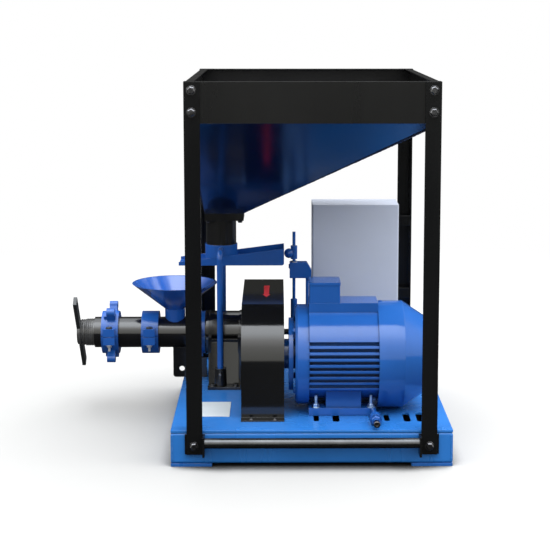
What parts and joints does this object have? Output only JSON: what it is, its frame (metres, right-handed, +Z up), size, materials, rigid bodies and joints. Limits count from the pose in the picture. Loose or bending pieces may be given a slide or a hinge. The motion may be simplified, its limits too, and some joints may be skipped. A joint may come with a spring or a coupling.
{
  "type": "feed extruder",
  "caption": "Screw press for fodder grain: hopper on an angle frame, vibrating feed tray, funnel, clamped barrel with a hand-turned die plug, guarded belt drive and electric motor.",
  "frame": {"origin": "middle of the machine's outline, on the floor", "axes": "+X along the barrel from the die to the motor's fan, +Y from the motor's side to the barrel's side, +Z up"},
  "size_m": [1.0164, 0.844, 0.971],
  "materials": {
    "blue_enamel": "glossy blue enamel",
    "black_enamel": "glossy black enamel",
    "steel": "turned steel",
    "belt_rubber": "matt black rubber",
    "fan_plastic": "matt black moulding",
    "grey_powder_coat": "satin light grey powder coat"
  },
  "bodies": {
    "machine": {"base_long_rails": "blue_enamel", "base_side_rails": "blue_enamel", "base_feet": "blue_enamel", "base_plate": "blue_enamel", "frame_posts": "black_enamel", "rim_long_panels": "black_enamel", "rim_side_panels": "black_enamel", "post_brackets": "black_enamel", "hand_bar": "black_enamel", "hopper_front_wall": "blue_enamel", "hopper_back_wall": "blue_enamel", "hopper_left_wall": "blue_enamel", "hopper_right_wall": "blue_enamel", "outlet_flange": "black_enamel", "outlet_tube": "black_enamel", "outlet_collar": "blue_enamel", "tray_supports": "blue_enamel", "support_sockets": "black_enamel", "rod_guide": "blue_enamel", "barrel": "black_enamel", "barrel_clamps": "blue_enamel", "feed_funnel": "blue_enamel", "bearing_housing": "black_enamel", "barrel_stand": "black_enamel", "barrel_bracket": "black_enamel", "belt_guard": "black_enamel", "drive_belt": "belt_rubber", "motor_body": "blue_enamel", "motor_end_shields": "blue_enamel", "fan_cover": "blue_enamel", "terminal_box": "blue_enamel", "motor_feet": "blue_enamel", "tension_bolt": "steel", "control_cabinet": "grey_powder_coat", "cabinet_brackets": "black_enamel"},
    "screw": {"extruder_screw": "steel", "main_shaft": "steel", "driven_pulley": "steel"},
    "rotor": {"motor_shaft": "steel", "motor_pulley": "steel", "motor_fan": "fan_plastic"},
    "tray": {"feed_tray": "blue_enamel"},
    "rod": {"feeder_rod": "blue_enamel"},
    "die": {"die_plug": "black_enamel", "die_handle": "black_enamel"}
  },
  "joints": [
    {"name": "screw_spin", "type": "hinge", "parent": "machine", "child": "screw", "pos_m": [-0.13825, 0.173, 0.226], "axis": [1, 0, 0], "continuous": true},
    {"name": "motor_spin", "type": "hinge", "parent": "machine", "child": "rotor", "pos_m": [-0.02925, -0.154, 0.238], "axis": [1, 0, 0], "continuous": true},
    {"name": "tray_rock", "type": "hinge", "parent": "machine", "child": "tray", "pos_m": [-0.09475, 0.173, 0.444], "axis": [0, -1, 0], "range_deg": [-1.18, 1.18]},
    {"name": "rod_lift", "type": "slide", "parent": "machine", "child": "rod", "axis": [0, 0, 1], "range_m": [-0.004, 0.004]},
    {"name": "die_turn", "type": "hinge", "parent": "machine", "child": "die", "pos_m": [-0.45825, 0.173, 0.226], "axis": [1, 0, 0], "range_deg": [-180, 180]}
  ],
  "couplings": [
    {"joint": "motor_spin", "follows": "screw_spin", "ratio": 1.8667},
    {"joint": "rod_lift", "follows": "tray_rock", "m_per_rad": 0.1935}
  ]
}
